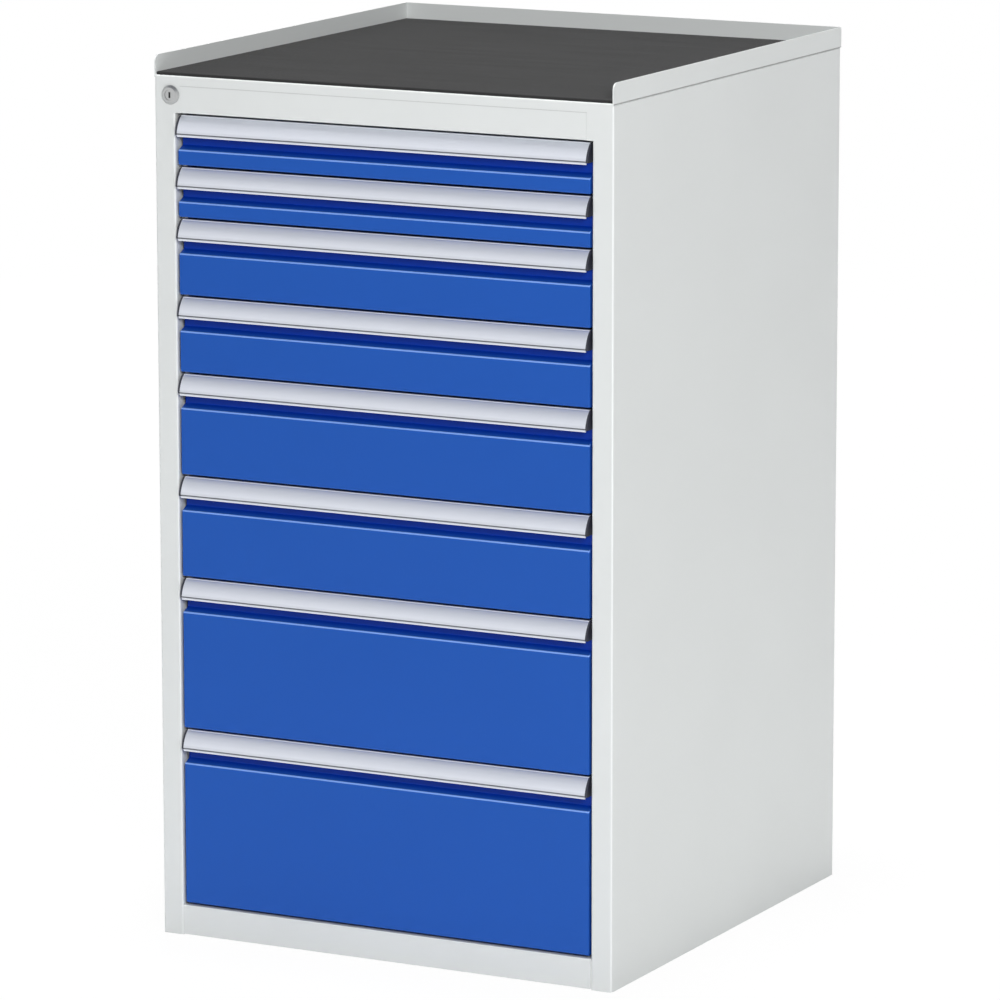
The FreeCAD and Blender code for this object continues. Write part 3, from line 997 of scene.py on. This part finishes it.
@dataclass
class Studio:
    """Pale floor, white surroundings and soft lamps."""

    floor_half: float = 40.0
    floor_colour: Colour = (0.97, 0.97, 0.97)
    white_share: float = 0.95
    shadow_near: float = 2.0
    shadow_far: float = 5.0
    ambient: Colour = (0.18, 0.18, 0.185)
    sheen_low: Colour = (0.95, 0.95, 0.955)
    sheen_high: Colour = (0.34, 0.35, 0.38)
    horizon: float = 0.15
    zenith: float = 0.95
    white: Colour = (1.0, 1.0, 1.0)
    target: tuple[float, float, float] = (0.0, 0.0, 0.5)
    softboxes: tuple[Softbox, ...] = (
        Softbox("key_lamp", azimuth=36, elevation=22, distance=6.0, width=1.6, height=1.4, level=0.525),
        Softbox("top_lamp", azimuth=0, elevation=88, distance=6.0, width=1.2, height=1.2, level=0.74),
        Softbox("back_lamp", azimuth=215, elevation=15, distance=6.0, width=1.6, height=1.4, level=0.36),
    )

    def build(self) -> None:
        """Build the floor, the surroundings and the lamps."""
        self.build_floor()
        self.build_surroundings()
        for softbox in self.softboxes:
            softbox.build(Vector(self.target))
        log.info("studio: floor, surroundings and %d lamps", len(self.softboxes))

    def build_floor(self) -> None:
        """A level sheet that shows white to the camera and to metal, less the cabinet's own shadow.

        The share of the matt paint, which takes the shadow, falls to 0 between the near and the far distance
        from the cabinet.
        """
        half = self.floor_half
        mesh = bpy.data.meshes.new("floor")
        mesh.from_pydata([(-half, -half, 0), (half, -half, 0), (half, half, 0), (-half, half, 0)], [],
                         [(0, 1, 2, 3)])
        material = bpy.data.materials.new("floor")
        material.use_nodes = True
        shader = Shader(material.node_tree)
        length = shader.node("ShaderNodeVectorMath", {"operation": "LENGTH"}, s0=shader.place())
        away = shader.output(length, "Value").step(self.shadow_near, self.shadow_far)
        seen = self.seen_directly(shader) * (away * (1 - self.white_share) + self.white_share)
        matt = shader.output(shader.node("ShaderNodeBsdfDiffuse", Color=self.floor_colour))
        white = shader.output(shader.node("ShaderNodeEmission", Color=self.white, Strength=1.0))
        both = shader.node("ShaderNodeMixShader", s0=seen, s1=matt, s2=white)
        shader.node("ShaderNodeOutputMaterial", Surface=shader.output(both))
        mesh.materials.append(material)
        floor = bpy.data.objects.new("floor", mesh)
        bpy.context.scene.collection.objects.link(floor)

    @staticmethod
    def seen_directly(shader: Shader) -> Signal:
        """1 for rays from the camera, from a mirroring surface or through glass, and 0 for all others.

        Args:
            shader: The node tree that asks.

        Returns:
            The share as a signal.
        """
        path = shader.node("ShaderNodeLightPath")
        seen = [shader.output(path, f"Is {kind} Ray") for kind in ("Camera", "Glossy", "Transmission")]
        return (seen[0] + seen[1] + seen[2]).clamped()

    def build_surroundings(self) -> None:
        """White for the camera, a bright horizon under a darker ceiling for metal, and a soft fill."""
        world = bpy.data.worlds.new("studio")
        world.use_nodes = True
        bpy.context.scene.world = world
        shader = Shader(world.node_tree)
        path = shader.node("ShaderNodeLightPath")
        direction = shader.output(shader.node("ShaderNodeTexCoord"), "Generated")
        height = shader.output(shader.node("ShaderNodeSeparateXYZ", Vector=direction), 2)
        rise = shader.output(shader.node("ShaderNodeMapRange", {"interpolation_type": "SMOOTHSTEP"},
                                         Value=height, s1=self.horizon, s2=self.zenith))
        sheen = shader.mix(rise, self.sheen_low, self.sheen_high)
        fill = shader.mix(shader.output(path, "Is Glossy Ray"), self.ambient, sheen)
        colour = shader.mix(shader.output(path, "Is Camera Ray"), fill, self.white)
        back = shader.node("ShaderNodeBackground", Color=colour, Strength=1.0)
        shader.node("ShaderNodeOutputWorld", Surface=shader.output(back))


@dataclass(frozen=True)
class PhotographCamera:
    """The photograph's camera: where it stands, where it looks and how long its lens is."""

    place: tuple[float, float, float] = (3.2532, -6.2839, 1.8536)
    yaw: float = 0.4783
    pitch: float = -0.1910
    roll: float = 0.0009
    lens: float = 222.1
    sensor: float = 36.0
    sight: float = 200.0

    def build(self) -> None:
        """Set the camera up. It looks along +Y before it is turned."""
        camera = bpy.data.cameras.new("camera")
        camera.sensor_width = self.sensor
        camera.lens = self.lens
        camera.clip_end = self.sight
        turn = (Matrix.Rotation(self.yaw, 4, "Z") @ Matrix.Rotation(self.pitch, 4, "X")
                @ Matrix.Rotation(self.roll, 4, "Y") @ Matrix.Rotation(math.pi / 2, 4, "X"))
        holder = bpy.data.objects.new("camera", camera)
        holder.matrix_world = Matrix.Translation(self.place) @ turn
        bpy.context.scene.collection.objects.link(holder)
        bpy.context.scene.camera = holder
        log.info("camera: %.0f mm lens", self.lens)


def main() -> None:
    """Build the cabinet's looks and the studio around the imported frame."""
    logging.basicConfig(level=logging.INFO, format="%(name)s: %(message)s")
    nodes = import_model()["nodes"]
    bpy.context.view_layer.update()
    Housing().build(nodes)
    TrayMat().build()
    for number in DRAWERS:
        Drawer(number).build(nodes)
    Lock().build(nodes)
    Studio().build()
    PhotographCamera().build()
    bpy.context.scene.view_settings.view_transform = "Standard"


if __name__ == "__main__":
    main()
